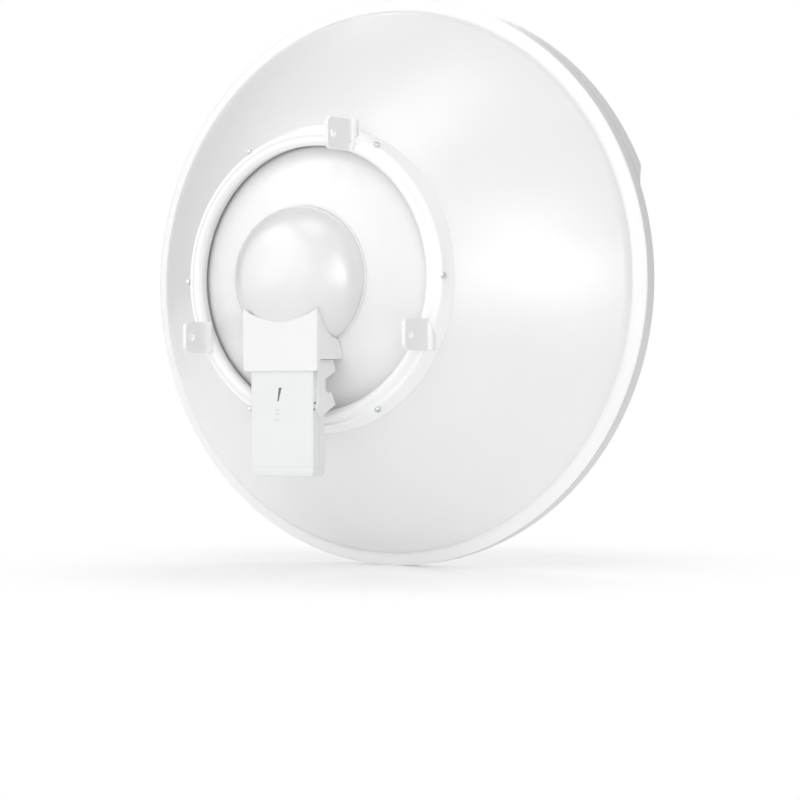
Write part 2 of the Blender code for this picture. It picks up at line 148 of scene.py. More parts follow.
# ASA, injection moulded in a polished tool. Smooth and glossy, with faint flow waves.
polishedAsa = {
    "colour": "#EAEAEA",
    "shade": "#E6E6E6",
    "mottleMm": 60.0,
    "roughness": (0.28, 0.30),
    "ior": 1.55,
    "coat": 1.0,
    "coatRoughness": 0.21,
    "grainMm": 30.0,
    "grainHeightMm": 0.004,
    "spinMm": 7.0,
    "spinHeightMm": 0.0,
}

# ABS, moulded in a lightly etched tool, on the cradle and the bracket. Satin.
satinAbs = dict(polishedAsa, colour="#EFEFEF", shade="#EAEAEA", roughness=(0.36, 0.44), coat=0.3,
                grainMm=2.5, grainHeightMm=0.02)

# Polycarbonate blend on the radio, spark-eroded texture, slightly cool and greenish white.
texturedPolycarbonate = dict(polishedAsa, colour="#EBEDEC", shade="#E4E6E5", ior=1.58,
                             roughness=(0.38, 0.47), coat=0.08, grainMm=1.8, grainHeightMm=0.03)


# a new material, its tree and shader, and the coordinates that its grains lie in
def startMaterial(name):
    material = bpy.data.materials.new(name)
    material.use_nodes = True
    tree = material.node_tree
    return material, tree, tree.nodes["Principled BSDF"], addNode(tree, "TexCoord")


# blends a finish's two tones by a grain
def blendTones(tree, shader, grain, facts):
    tones = {"data_type": "RGBA", 6: linearColour(facts["colour"]), 7: linearColour(facts["shade"])}
    tone = addNode(tree, "Mix", tones, {0: (grain, "Fac")})
    tree.links.new(tone.outputs[2], shader.inputs["Base Color"])


# varies the roughness by a grain, whose values lie mostly in the From range
def varyRoughness(tree, shader, grain, roughness):
    low, high = roughness
    span = {"From Min": 0.3, "From Max": 0.7, "To Min": low, "To Max": high}
    rough = addNode(tree, "MapRange", span, {"Value": (grain, "Fac")})
    tree.links.new(rough.outputs["Result"], shader.inputs["Roughness"])


# a bump from a grain, laid over another bump where one is given
def addBump(tree, grain, millimetres, under=None):
    feeds = {"Height": (grain, "Fac")}
    if under:
        feeds["Normal"] = (under, "Normal")
    return addNode(tree, "Bump", {"Strength": 1.0, "Distance": millimetres / 1000}, feeds)


def makePaintedFinish(name, facts):
    material, tree, shader, place = startMaterial(name)
    setUp(shader, {"IOR": facts["ior"], "Coat Weight": facts["coat"],
                   "Coat Roughness": facts["coatRoughness"]})
    blendTones(tree, shader, grainAt(tree, place, facts["mottleMm"], 3.0), facts)
    patches = grainAt(tree, place, facts["mottleMm"] / 6, 4.0)
    varyRoughness(tree, shader, patches, facts["roughness"])
    bump = addBump(tree, grainAt(tree, place, facts["grainMm"], 2.0), facts["grainHeightMm"])
    if facts["spinHeightMm"]:
        wave = {
            "wave_type": "RINGS",
            "rings_direction": "Y",
            "Scale": pi / 10 * perMetre(facts["spinMm"]),  # rings are pi / 10 apart at 1
            "Distortion": 1.5,
            "Detail": 1.0,
        }
        rings = addNode(tree, "TexWave", wave, {"Vector": (place, "Object")})
        bump = addBump(tree, rings, facts["spinHeightMm"], bump)
    tree.links.new(bump.outputs["Normal"], shader.inputs["Normal"])
    return material


# Zinc-plated steel on the screws, from a plating bath. Bright bluish metal with a fine grain.
zincPlate = {
    "colour": "#E4E6E8",
    "shade": "#CDD0D3",
    "roughness": (0.42, 0.54),
    "grainMm": 0.6,
    "grainHeightMm": 0.01,
}


def makeZincPlate(name, facts):
    material, tree, shader, place = startMaterial(name)
    setUp(shader, {"Metallic": 1.0})
    grain = grainAt(tree, place, facts["grainMm"], 3.0)
    blendTones(tree, shader, grain, facts)
    varyRoughness(tree, shader, grain, facts["roughness"])
    bump = addBump(tree, grain, facts["grainHeightMm"])
    tree.links.new(bump.outputs["Normal"], shader.inputs["Normal"])
    return material


# Smoked polycarbonate light pipes. Dark and glassy where the lamp behind them is off.
smokedPolycarbonate = dict(polishedAsa, colour="#3A3D40", shade="#2C2F32", mottleMm=8.0,
                           roughness=(0.16, 0.24), ior=1.58, grainMm=1.5, grainHeightMm=0.01)

# Nylon push rivets in the rim band, moulded dark and dull.
darkNylon = dict(polishedAsa, colour="#5E6163", shade="#515456", mottleMm=6.0, ior=1.53,
                 roughness=(0.42, 0.55), coat=0.0, grainMm=0.9, grainHeightMm=0.02)

# Frosted polycarbonate over the small lamps, a milky grey where they are off.
frostedPolycarbonate = dict(polishedAsa, colour="#C8CCCD", shade="#BDC1C3", mottleMm=6.0,
                            ior=1.58, roughness=(0.45, 0.55), coat=0.0, grainMm=1.2,
                            grainHeightMm=0.01)

painted = dict(powderCoatedSheet=powderCoat, powderCoatedBandPaintedShade=bandPaintedShadeCoat, powderCoatedRingPaintedHighlight=ringPaintedHighlightCoat,
               powderCoatedLipPaintedHighlight=lipPaintedHighlight, powderCoatedSteel=earCoat, polishedAsa=polishedAsa,
               satinAbs=satinAbs, texturedPolycarbonate=texturedPolycarbonate,
               smokedPolycarbonate=smokedPolycarbonate, darkNylon=darkNylon,
               frostedPolycarbonate=frostedPolycarbonate)
finishes = {name: makePaintedFinish(name, facts) for name, facts in painted.items()}
finishes["zincPlatedSteel"] = makeZincPlate("zincPlatedSteel", zincPlate)
print("finishes made:", len(finishes))


# Outlines, as lists of pairs

def spread(low, high, count):
    return [low + (high - low) * i / (count - 1) for i in range(count)]


# angles evenly round a circle
def turns(count):
    return [2 * pi * i / count for i in range(count)]


# points on an arc, with angles in degrees
def arc(centre, radius, start, end, count):
    return [(centre[0] + radius * cos(radians(angle)), centre[1] + radius * sin(radians(angle)))
            for angle in spread(start, end, count)]


# a smooth curve through given points, as pressed or rolled sheet takes
def throughPoints(points, perSpan):
    ends = [points[0]] + list(points) + [points[-1]]
    curve = []
    for i in range(1, len(ends) - 2):
        before, here, there, after = (Vector(p) for p in ends[i - 1:i + 3])
        for k in range(perSpan):
            t = k / perSpan
            drawn = here * 2 + (there - before) * t
            drawn += (before * 2 - here * 5 + there * 4 - after) * t * t
            drawn += (here * 3 - before - there * 3 + after) * t * t * t
            curve.append(tuple(drawn / 2))
    return curve + [tuple(points[-1])]


# the open outline moved sideways, for the other face of a sheet
def sideStep(points, distance):
    moved = []
    for i, point in enumerate(points):
        here = Vector(point)
        before = Vector(points[max(i - 1, 0)])
        after = Vector(points[min(i + 1, len(points) - 1)])
        runs = [step for step in (here - before, after - here) if step.length > 0]
        normals = [Vector((-run.y, run.x)).normalized() for run in runs]
        mean = sum(normals, Vector((0, 0))).normalized()
        moved.append(tuple(here + mean * distance / mean.dot(normals[0])))
    return moved


# a closed outline with every corner rounded
def roundCorners(points, radius):
    steps = dish["cornerSteps"]
    rounded = []
    for i, point in enumerate(points):
        corner = Vector(point)
        before = Vector(points[i - 1]) - corner
        after = Vector(points[(i + 1) % len(points)]) - corner
        reach = min(radius, before.length * 0.45, after.length * 0.45)
        first = corner + before.normalized() * reach
        last = corner + after.normalized() * reach
        for k in range(steps + 1):
            t = k / steps
            rounded.append(tuple(first.lerp(corner, t).lerp(corner.lerp(last, t), t)))
    return rounded


def bowlDepthAt(radius):
    share = (dish["hubShoulder"] - radius) / (dish["hubShoulder"] - dish["hubEdge"])
    share = min(max(share, 0.0), 1.0)
    drop = dish["hubDrop"] * share * share * (3 - 2 * share)
    return dish["bowlDepth"] - radius * radius / (4 * dish["focus"]) - drop


# Bodies

shading = {
    "sharpDegrees": 32,
    "bevelSegments": 3,
    "bevelDegrees": 40,
    "flatWeight": 90,
}


# turns a closed (radius, height) outline about local Z, then places it
def spinOutline(bm, outline, steps, place):
    rings = []
    for radius, height in outline:
        if radius < 1e-6:
            rings.append([bm.verts.new(place @ Vector((0, 0, height)))])
            continue
        rings.append([bm.verts.new(place @ Vector((radius * cos(a), radius * sin(a), height)))
                      for a in turns(steps)])
    for lower, upper in zip(rings, rings[1:] + rings[:1]):
        if len(lower) == len(upper) == 1:
            continue
        for i in range(steps):
            j = (i + 1) % steps
            corners = ((lower, i), (lower, j), (upper, j), (upper, i))
            around = [line[k % len(line)] for line, k in corners]
            bm.faces.new(list(dict.fromkeys(around)))


# joins closed sections of like length, with a cap at both ends
def bridgeSections(bm, sections):
    loops = [[bm.verts.new(point) for point in section] for section in sections]
    for first, second in zip(loops, loops[1:]):
        for i in range(len(first)):
            bm.faces.new((first[i - 1], first[i], second[i], second[i - 1]))
    bm.faces.new(loops[0])
    bm.faces.new(list(reversed(loops[-1])))


def addObject(name, data):
    holder = bpy.data.objects.new(name, data)
    bpy.context.scene.collection.objects.link(holder)
    return holder


def meshPiece(name, bm, finishName):
    bmesh.ops.recalc_face_normals(bm, faces=bm.faces)
    mesh = bpy.data.meshes.new(name)
    bm.to_mesh(mesh)
    bm.free()
    mesh.shade_smooth()
    mesh.set_sharp_from_angle(angle=radians(shading["sharpDegrees"]))
    piece = addObject(name, mesh)
    piece.location = rimCentre
    mesh.materials.append(finishes[finishName])
    return piece


# ties a piece to the frame, and hides the solids that it stands for
def dress(piece, slotName, *nodes):
    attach(piece, "root")
    if nodes:
        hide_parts(*nodes)


# applies a piece's modifiers, so that helpers can be removed
def settle(piece):
    graph = bpy.context.evaluated_depsgraph_get()
    mesh = bpy.data.meshes.new_from_object(piece.evaluated_get(graph))
    piece.modifiers.clear()
    piece.data = mesh


# keeps flat faces flat in shading beside rounded edges
def flattenShading(piece, keepSharp):
    weighted = piece.modifiers.new("flatFaces", "WEIGHTED_NORMAL")
    weighted.weight = shading["flatWeight"]
    weighted.keep_sharp = keepSharp
    settle(piece)


# rounds a piece's edges, with the flat faces kept flat in shading
def softenEdges(piece, width):
    for edge in piece.data.edges:
        edge.use_edge_sharp = False
    bevel = piece.modifiers.new("edgeRound", "BEVEL")
    bevel.width = width
    bevel.segments = shading["bevelSegments"]
    bevel.limit_method = "ANGLE"
    bevel.angle_limit = radians(shading["bevelDegrees"])
    flattenShading(piece, False)


def cutAway(piece, cutter):
    boolean = piece.modifiers.new("cut", "BOOLEAN")
    boolean.operation = "DIFFERENCE"
    boolean.object = cutter
    settle(piece)
    bpy.data.objects.remove(cutter, do_unlink=True)


# lays local Z along a direction at a seat
def placeAlong(seat, along, up):
    return Matrix.Translation(seat) @ along.to_track_quat("Z", up).to_matrix().to_4x4()


def outward(angle):
    return Vector((cos(angle), 0, sin(angle)))


# quarter turn that lays local Z along the dish's axis, pointing backwards
backwards = Matrix.Rotation(radians(90), 4, "X")


def turnedPiece(name, outline, finishName, steps=dish["steps"]):
    bm = bmesh.new()
    spinOutline(bm, outline, steps, backwards)
    return meshPiece(name, bm, finishName)


def plate(name, sections, finishName):
    bm = bmesh.new()
    bridgeSections(bm, sections)
    return meshPiece(name, bm, finishName)


# a plate square to X from a (depth, height) outline
def plateAcross(name, outline, lowX, highX, finishName):
    return plate(name, [[(x, -d, z) for d, z in outline] for x in (lowX, highX)], finishName)


# a plate square to Y from an (x, height) outline
def plateFacingBack(name, outline, lowDepth, highDepth, finishName):
    return plate(name, [[(x, -d, z) for x, z in outline] for d in (lowDepth, highDepth)],
                 finishName)


# a bead or tube along points, with its own radius at each point
def addTube(bm, points, radii, sides):
    loops = []
    for i, point in enumerate(points):
        ahead = points[min(i + 1, len(points) - 1)] - points[max(i - 1, 0)]
        turn = ahead.to_track_quat("Z", "Y")
        loops.append([tuple(point + turn @ (Vector((cos(a), sin(a), 0)) * radii[i]))
                      for a in turns(sides)])
    bridgeSections(bm, loops)


# Reflector

reflector = {
    "hubStations": 14,
    "stepStations": 6,
    "bowlStations": 34,
    "lip": ((0.0013, -0.0040), (0.0034, -0.0066), (0.0065, -0.0078), (0.0105, -0.0086),
            (0.0140, -0.0097), (0.0156, -0.0106)),  # from the bowl's edge
    "lipPerSpan": 4,
    "lipPaintedHighlight": 0.0003,  # thickness of the skin that carries the lip's painted highlight
    "coatShort": 2,  # points that the painted highlight's skin ends short of the rim
}


def makeReflector():
    edge = (dish["bowlEdge"], bowlDepthAt(dish["bowlEdge"]))
    radii = spread(dish["holeRadius"], dish["hubEdge"], reflector["hubStations"])
    radii += spread(dish["hubEdge"], dish["hubShoulder"], reflector["stepStations"])[1:-1]
    radii += spread(dish["hubShoulder"], dish["bowlEdge"], reflector["bowlStations"])
    bowl = [(radius, bowlDepthAt(radius)) for radius in radii]
    lip = [edge] + [(edge[0] + across, edge[1] + back) for across, back in reflector["lip"]]
    lip.append((dish["rimRadius"], -dish["lipCurl"]))
    lip = throughPoints(lip, reflector["lipPerSpan"])
    back = bowl + lip[1:]
    front = sideStep(back, -dish["sheet"])
    dress(turnedPiece("reflectorSheet", back + front[::-1], "powderCoatedSheet"),
          "white_powder_coat", "reflector")
    # a thin skin over the lip, whiter than the bowl as a painted highlight, held inside the rim
    lip = lip[reflector["lipPerSpan"]:-reflector["coatShort"]]
    coat = sideStep(lip, dish["tight"]) + sideStep(lip, reflector["lipPaintedHighlight"])[::-1]
    coat = [(min(across, dish["rimRadius"] - dish["tight"]), back) for across, back in coat]
    dress(turnedPiece("reflectorLipPaintedHighlight", coat, "powderCoatedLipPaintedHighlight"), "white_powder_coat")


# Band round the rim, its push rivets, and the deeper strip over the top

rimBand = {
    "wall": 0.0022,
    "returnWidth": 0.005,
    "hemRadius": 0.0014,
    "rivetTurns": (0, 31, 62, 90, 118, 149),  # degrees; each has one opposite
    "rivetForward": 0.0075,
    "rivetRadius": 0.0030,
    "rivetProud": 0.0011,
    "rivetSunk": 0.0010,
    "rivetBulge": 0.8,  # of the head's radius
    "rivetSides": 20,
}

topStrip = {
    "wall": 0.0018,
    "front": 0.0390,
    "startDegrees": 18.6,
    "slantDegrees": 3.55,
    "cornerRadius": 0.005,
    "chamfer": (0.0005, 0.0006),  # across the sheet and back from its front edge
    "sections": 160,
}


def makeRimBand():
    outer = dish["rimRadius"]
    inner = outer - rimBand["wall"]
    start = -(dish["lipCurl"] + dish["sheet"] + dish["gap"])
    front = -dish["bandFront"]
    fold = inner - rimBand["returnWidth"]
    hem = roundCorners([(outer, start), (outer, front), (fold, front),
                        (fold, front + rimBand["wall"]), (inner, front + rimBand["wall"]),
                        (inner, start)], rimBand["hemRadius"])
    dress(turnedPiece("rimBand", hem, "powderCoatedBandPaintedShade"), "white_powder_coat", "edge_band")
    bm = bmesh.new()
    radius = rimBand["rivetRadius"]
    proud = rimBand["rivetProud"]
    sunk = rimBand["rivetSunk"]
    bulge = radius * rimBand["rivetBulge"]
    head = arc((0, proud - bulge), bulge, 90, 20, 6)
    head = [(radius * across / bulge, max(high, 0.0)) for across, high in head]
    head = [(0.0, proud)] + head[1:] + [(radius, 0.0), (radius, -sunk), (0.0, -sunk)]
    for turn in rimBand["rivetTurns"]:
        for angle in (radians(turn), radians(turn + 180)):
            out = outward(angle)
            seat = out * (outer - proud) + Vector((0, rimBand["rivetForward"], 0))
            spinOutline(bm, head, rimBand["rivetSides"], placeAlong(seat, out, "Y"))
    dress(meshPiece("rimRivets", bm, "darkNylon"), "white_powder_coat")


def makeTopStrip():
    outer = dish["rimRadius"]
    inner = outer - topStrip["wall"]
    low = dish["bandFront"] + dish["tight"]
    count = topStrip["sections"]
    corner = topStrip["cornerRadius"]
    across, back = topStrip["chamfer"]
    sweep = 180 - 2 * topStrip["startDegrees"]
    sections = []
    for i in range(count + 1):
        share = 0.5 - 0.5 * cos(pi * i / count)
        base = radians(topStrip["startDegrees"] + sweep * share)
        tip = base + radians(topStrip["slantDegrees"]) * (1 - 2 * share)
        fromEnd = radians(sweep) * min(share, 1 - share) * outer
        short = max(corner - fromEnd, 0.0)
        front = topStrip["front"] - (corner - sqrt(corner * corner - short * short))
        section = []
        for radius, forward, angle in ((outer, low, base), (outer, front - back, tip),
                                       (outer - across, front, tip), (inner + across, front, tip),
                                       (inner, front - back, tip), (inner, low, base)):
            section.append((radius * cos(angle), forward, radius * sin(angle)))
        sections.append(section)
    dress(plate("topStrip", sections, "powderCoatedBandPaintedShade"), "white_powder_coat", "upper_strip")


# Mounting ring and its screws

ring = {
    "foot": 0.1700,
    "inner": 0.1457,
    "crest": 0.1754,
    "skirt": ((0.1672, 0.1580), (0.1646, 0.1650), (0.1635, 0.1674)),
    "groove": ((0.1621, 0.1688), (0.1604, 0.1689), (0.1587, 0.1694)),
    "top": ((0.1571, 0.1708), (0.1555, 0.1729), (0.1534, 0.1746), (0.1510, 0.1753)),
    "inside": ((0.1487, 0.1745), (0.1467, 0.1724), (0.1457, 0.1690)),
    "wall": ((0.1465, 0.1630), (0.1474, 0.1579)),
    "innerTurn": 0.004,
    "footInset": 1.25,  # of the sheet's thickness
    "perSpan": 4,
}

ringScrews = {
    "count": 6,
    "radius": 0.1640,
    "depth": 0.1665,
    "tiltDegrees": 21.5,
    "head": 0.0036,
    "height": 0.0035,
    "across": 0.0030,
    "deep": 0.0012,
}


def ringOutline():
    foot = (ring["foot"], bowlDepthAt(ring["foot"]) + 2 * dish["gap"])
    points = [foot, *ring["skirt"], *ring["groove"], *ring["top"], *ring["inside"],
              *ring["wall"]]
    return throughPoints(points, ring["perSpan"])


# depth of the ring's back at a radius, for what is welded on it
def ringDepthAt(radius):
    line = ringOutline()
    for (farther, low), (nearer, high) in zip(line, line[1:]):
        if nearer <= radius <= farther:
            share = (farther - radius) / max(farther - nearer, 1e-9)
            return low + (high - low) * share
    return ring["crest"] if radius < ring["inner"] + ring["innerTurn"] else line[0][1]


socketHead = {
    "profile": ((0.94, 0.0), (1.0, 0.08), (1.0, 0.84), (0.96, 0.94), (0.88, 1.0)),
    "socketRim": 1.10,
    "socketChamfer": 0.0002,
    "sides": 24,
}


# a screw's round head with a chamfer and a hexagon socket, on local Z
def makeScrew(name, node, place, facts):
    height = facts["height"]
    flat = facts["across"] / 2
    corner = facts["across"] / sqrt(3)
    levels = [(facts["head"] * wide, height * high, False)
              for wide, high in socketHead["profile"]]
    levels += [(corner * socketHead["socketRim"], height, False),
               (corner, height - socketHead["socketChamfer"], True),
               (corner, height - facts["deep"], True)]
    sections = []
    for size, level, socket in levels:
        section = []
        for angle in turns(socketHead["sides"]):
            away = size
            if socket:
                within = (angle + pi / 6) % (pi / 3) - pi / 6
                away = flat / cos(within)
            section.append(place @ Vector((away * cos(angle), away * sin(angle), level)))
        sections.append(section)
    dress(plate(name, sections, "zincPlatedSteel"), "zinc_steel", node)


def makeMountingRing():
    outside = ringOutline()
    inside = sideStep(outside, dish["sheet"])
    reach = ring["foot"] - ring["footInset"] * dish["sheet"]
    inside[0] = (reach, bowlDepthAt(reach) + 2 * dish["gap"])
    dress(turnedPiece("mountingRingPressing", outside + inside[::-1], "powderCoatedRingPaintedHighlight"),
          "white_powder_coat", "mounting_ring")
    tilt = radians(ringScrews["tiltDegrees"])
    for i, angle in enumerate(turns(ringScrews["count"]), 1):
        out = outward(angle)
        along = out * cos(tilt) + Vector((0, -sin(tilt), 0))
        seat = out * ringScrews["radius"] + Vector((0, -ringScrews["depth"], 0))
        makeScrew(f"ringScrewHead{i}", f"ring_screw_{i}", placeAlong(seat, along, "X"),
                  ringScrews)


# Ears

ears = {
    "places": {
        "top_ear": (0.0500, 0.1550),
        "left_ear": (-0.1365, -0.0630),
        "right_ear": (0.1450, -0.0630),
    },
    "plate": 0.0045,
    "height": 0.034,
    "back": 0.2140,
    "root": 0.160,
    "foot": 0.008,
    "bend": 0.0075,
    # depths where the bend ends and where the foot's edge ends below it
    "footEnds": {
        "top_ear": (0.1688, 0.1635),
        "left_ear": (0.1767, 0.1757),
        "right_ear": (0.1688, 0.1635),
    },
    "corner": 0.0075,
    "holeRadius": 0.0055,
    "holeDepth": 0.2030,
    "clearRadius": 0.1380,
    "clearDepth": 0.150,
    "cutBeyond": 0.006,
    "edgeRound": 0.0006,
}

weld = {
    "radius": 0.0011,
    "start": 0.003,  # from the ring's inner edge
    "reach": 0.1575,
    "sunk": 0.35,  # this and the next as shares of the radius
    "end": 0.45,
    "offFoot": 0.0004,
    "offSide": 0.0003,
    "short": 0.001,
    "stations": (46, 20),  # along the foot and up a side
    "swell": 0.16,
    "swellTurn": 1.7,
    "unevenness": 0.08,
    "sides": 10,
}


# plan of a plate whose bend runs out over its foot onto the ring
def earPlan(name):
    low, root = ears["footEnds"][name]
    rise = ring["crest"] + ears["plate"] + ears["bend"] - low
    bend = [(ears["foot"] * (1 + across), low + rise * (1 + down))
            for across, down in arc((0, 0), 1, 180, 270, 13)]
    return [(-ears["plate"], ears["root"]), (-ears["plate"], ears["back"]), (0.0, ears["back"]),
            *bend, (ears["foot"], root), (0.0, root), (0.0, ears["root"])]


def makeEar(name, faceX, middle):
    half = ears["height"] / 2
    plan = earPlan(name)
    ear = plate(f"{name}Plate", [[(faceX + x, -depth, middle + side * half) for x, depth in plan]
                                 for side in (-1, 1)], "powderCoatedSteel")
    beyond = ears["cutBeyond"]
    lowX = faceX - ears["plate"] - beyond
    highX = faceX + beyond
    start = ears["back"] - ears["corner"]
    far = ears["back"] + beyond
    turn = ears["corner"]
    low, high = middle - half, middle + half
    corners = [(far, low - beyond), (far, high + beyond), (start, high + beyond), (start, high)]
    corners += arc((start, high - turn), turn, 90, 0, 12)[1:]
    corners += arc((start, low + turn), turn, 0, -90, 12)[:-1]
    corners += [(start, low), (start, low - beyond)]
    cutAway(ear, plateAcross("cutter", corners, lowX, highX, "powderCoatedSteel"))
    hole = arc((ears["holeDepth"], middle), ears["holeRadius"], 0, 350, 36)
    cutAway(ear, plateAcross("cutter", hole, lowX, highX, "powderCoatedSteel"))
    skin = sideStep(ringOutline(), -dish["gap"])[:-2 * ring["perSpan"]]
    envelope = [(skin[0][0] + 0.002, skin[0][1] - 0.012)] + skin
    envelope += [(ears["clearRadius"], skin[-1][1]), (ears["clearRadius"], ears["clearDepth"])]
    cutAway(ear, turnedPiece("cutter", envelope, "powderCoatedSteel"))
    softenEdges(ear, ears["edgeRound"])
    dress(ear, "white_powder_coat", name)


# weld beads along an ear's foot and up both sides of its plate
def makeEarWeld(name, faceX, middle, seed):
    pulses = random.Random(seed)
    half = ears["height"] / 2
    end = half - weld["short"]
    alongFoot, alongSide = weld["stations"]
    edge = faceX + ears["foot"] + weld["offFoot"]
    runs = [[(edge, z) for z in spread(middle - end, middle + end, alongFoot)]]
    for side in (-1, 1):
        z = middle + side * (half + weld["offSide"])
        xs = spread(faceX - ears["plate"], faceX + ears["foot"], alongSide)
        runs.append([(x, z) for x in xs])
    bm = bmesh.new()
    for run in runs:
        points = []
        radii = []
        for i, (x, z) in enumerate(run):
            radius = hypot(x, z)
            if not ring["inner"] + weld["start"] < radius < weld["reach"]:
                continue
            depth = ringDepthAt(radius) + weld["radius"] * weld["sunk"]
            points.append(Vector((x, -depth, z)))
            uneven = pulses.uniform(-weld["unevenness"], weld["unevenness"])
            swell = 1 + weld["swell"] * sin(i * weld["swellTurn"]) + uneven
            radii.append(weld["radius"] * swell)
        if len(points) > 3:
            radii[0] = radii[-1] = weld["radius"] * weld["end"]
            addTube(bm, points, radii, weld["sides"])
    dress(meshPiece(f"{name}Weld", bm, "powderCoatedSteel"), "white_powder_coat")


# Hub dome

hubDome = {
    "radius": 0.0791,
    "bulge": 0.0545,
    "centre": 0.1905,
    "wall": 0.0025,
    "baseRadius": 0.0815,
    "baseThick": 0.0020,
    "baseRound": 0.0006,
    "stations": (49, 33),  # up the outside and up the inside
    "steps": 144,
}


def domeCurve(radius, bulge, count, baseDepth):
    lowest = asin((baseDepth - hubDome["centre"]) / bulge)
    return [(radius * cos(a), hubDome["centre"] + bulge * sin(a))
            for a in spread(lowest, pi / 2, count)]


def makeHubDome():
    gap = dish["gap"]
    inner = hubDome["radius"] - hubDome["wall"]
    many, fewer = hubDome["stations"]
    outside = domeCurve(hubDome["radius"], hubDome["bulge"], many,
                        bowlDepthAt(hubDome["radius"]) + 2 * gap)
    inside = domeCurve(inner, hubDome["bulge"] - hubDome["wall"], fewer,
                       bowlDepthAt(inner) + 2 * gap)
    outside[-1] = (0.0, outside[-1][1])
    inside[-1] = (0.0, inside[-1][1])
    dress(turnedPiece("hubDomeCover", outside + inside[::-1], "polishedAsa", hubDome["steps"]),
          "white_plastic", "rear_dome")
    near, far = hubDome["radius"] + dish["tight"], hubDome["baseRadius"]
    low, high = dish["tight"], hubDome["baseThick"]
    bead = roundCorners([(radius, bowlDepthAt(radius) + lift) for radius, lift in
                         ((near, low), (far, low), (far, high), (near, high))],
                        hubDome["baseRound"])
    dress(turnedPiece("hubDomeBaseBead", bead, "polishedAsa", hubDome["steps"]),
          "white_plastic", "dome_base_ring")


# Cradle: lid and two side walls

cradle = {
    "half": 0.0475,
    "back": 0.2335,
    "thick": 0.0025,
    "top": -0.0340,
    "dip": -0.0475,
    "bottom": -0.1010,
    "flange": 0.0045,
    "wall": 0.0025,
    "wallBottom": -0.0885,
    "wallDomeEnd": 0.1925,
    "wallInset": 0.0002,  # in from the lid's sides
    "wallStart": 0.004,
    "wallTop": (0.0030, 0.0045),  # below the lid's top, at its back and farther in
    "wallFoot": 0.0006,
    "footCorner": 0.0025,
    "lidRound": 0.0012,
    "wallRound": 0.0005,
}


def lidOutline():
    rise = cradle["top"] - cradle["dip"]
    bend = (cradle["half"] ** 2 + rise ** 2) / (2 * rise)
    half = degrees(asin(cradle["half"] / bend))
    hollow = arc((0, cradle["dip"] + bend), bend, 270 + half, 270 - half, 41)
    # the far third corner only gives the foot's two corners their direction
    foot = roundCorners([(-cradle["half"], cradle["bottom"]), (cradle["half"], cradle["bottom"]),
                         (0, 0.2)], cradle["footCorner"])
    return hollow + foot[:2 * (dish["cornerSteps"] + 1)]


def domeUnderside(depth, x):
    share = (depth - hubDome["centre"]) / hubDome["bulge"]
    radius = hubDome["radius"] * sqrt(max(0.0, 1 - share * share))
    return -sqrt(radius * radius - x * x) if radius > x else 0.0


def makeCradle():
    tight = dish["tight"]
    lid = plateFacingBack("cradleLid", lidOutline(), cradle["back"] - cradle["thick"],
                          cradle["back"], "satinAbs")
    around = domeCurve(hubDome["radius"] + tight, hubDome["bulge"] + tight,
                       hubDome["stations"][0], hubDome["centre"])
    around[-1] = (0.0, around[-1][1])
    around.append((0.0, hubDome["centre"]))
    cutAway(lid, turnedPiece("cutter", around, "satinAbs", hubDome["steps"]))
    softenEdges(lid, cradle["lidRound"])
    dress(lid, "white_plastic", "cradle_lid")
    for side, name in ((-1, "left"), (1, "right")):
        makeCradleWall(side, name)


def makeCradleWall(side, name):
    gap = dish["gap"]
    outer = cradle["half"] - cradle["wallInset"]
    inner = outer - cradle["wall"]
    back = cradle["back"] - cradle["thick"] - gap
    rebate = back + gap - cradle["flange"]
    ringClear = hubDome["baseRadius"] + hubDome["baseThick"] / 2
    ringEnd = -sqrt(ringClear ** 2 - inner ** 2)
    atBack, farther = cradle["wallTop"]
    outline = [(back, cradle["top"] - atBack)]
    for depth in spread(back - cradle["wallStart"], cradle["wallDomeEnd"], 20):
        clear = domeUnderside(depth, inner) - 3 * gap
        outline.append((depth, min(cradle["top"] - farther, clear)))
    outline.append((bowlDepthAt(ringClear) + hubDome["baseThick"] + 2 * gap, ringEnd))
    for height in spread(ringEnd, cradle["wallBottom"], 6):
        outline.append((bowlDepthAt(hypot(inner, height)) + 3 * gap, height))
    foot = cradle["bottom"] + cradle["wallFoot"]
    outline += [(rebate, cradle["wallBottom"]), (rebate, foot), (back, foot)]
    lowX, highX = sorted((side * inner, side * outer))
    wall = plateAcross(f"cradleWall{name.title()}", outline, lowX, highX, "satinAbs")
    softenEdges(wall, cradle["wallRound"])
    dress(wall, "white_plastic", f"cradle_{name}_wall")


# Radio

radio = {
    "half": 0.03975,
    "top": -0.0785,
    "bottom": -0.2145,
    "thick": 0.0240,
    "split": 0.0130,
    "corner": 0.005,
    "leastCorner": 0.0003,
    "cornerPoints": 10,
    "door": 0.0100,
    "edgeRound": 0.0013,
    "border": 0.0034,  # width of the slightly sloping rim round the face
    "borderDrop": 0.00045,
    "grooveWide": 0.0008,  # joint between the shells, seen at the sides
    "grooveDeep": 0.0007,
    "ribs": (0.0048, 0.0086),  # depths of two fine side grooves behind the face
    "lampBar": ((-0.0015, -0.1190), (-0.0045, -0.1340)),  # its leaning centre line
    "lampBarHalf": (0.0018, 0.0007),
    "lampBarRound": 0.0006,
    "lampDots": ((-0.0050, -0.1430), (-0.0053, -0.1475), (-0.0057, -0.1540)),
    "lampDotSize": (0.0056, 0.0009),
    "grip": (-0.0225, 0.0290, -0.2130, 0.0012),  # ends, height and width of a low ridge
    "slot": (0.0020, 0.0088, -0.1356, 0.0016),  # depths from the face, height, width
    "pin": (0.0030, -0.1424, 0.0013),  # depth, height, radius
    "faceSunk": 0.0006,
    "faceProud": (0.00012, 0.00006, 0.00025),  # of the bar, the lamps and the grip
    "sideSunk": 0.0008,
    "sideProud": 0.00006,
    "endRound": 0.45,  # of a mark's width
}


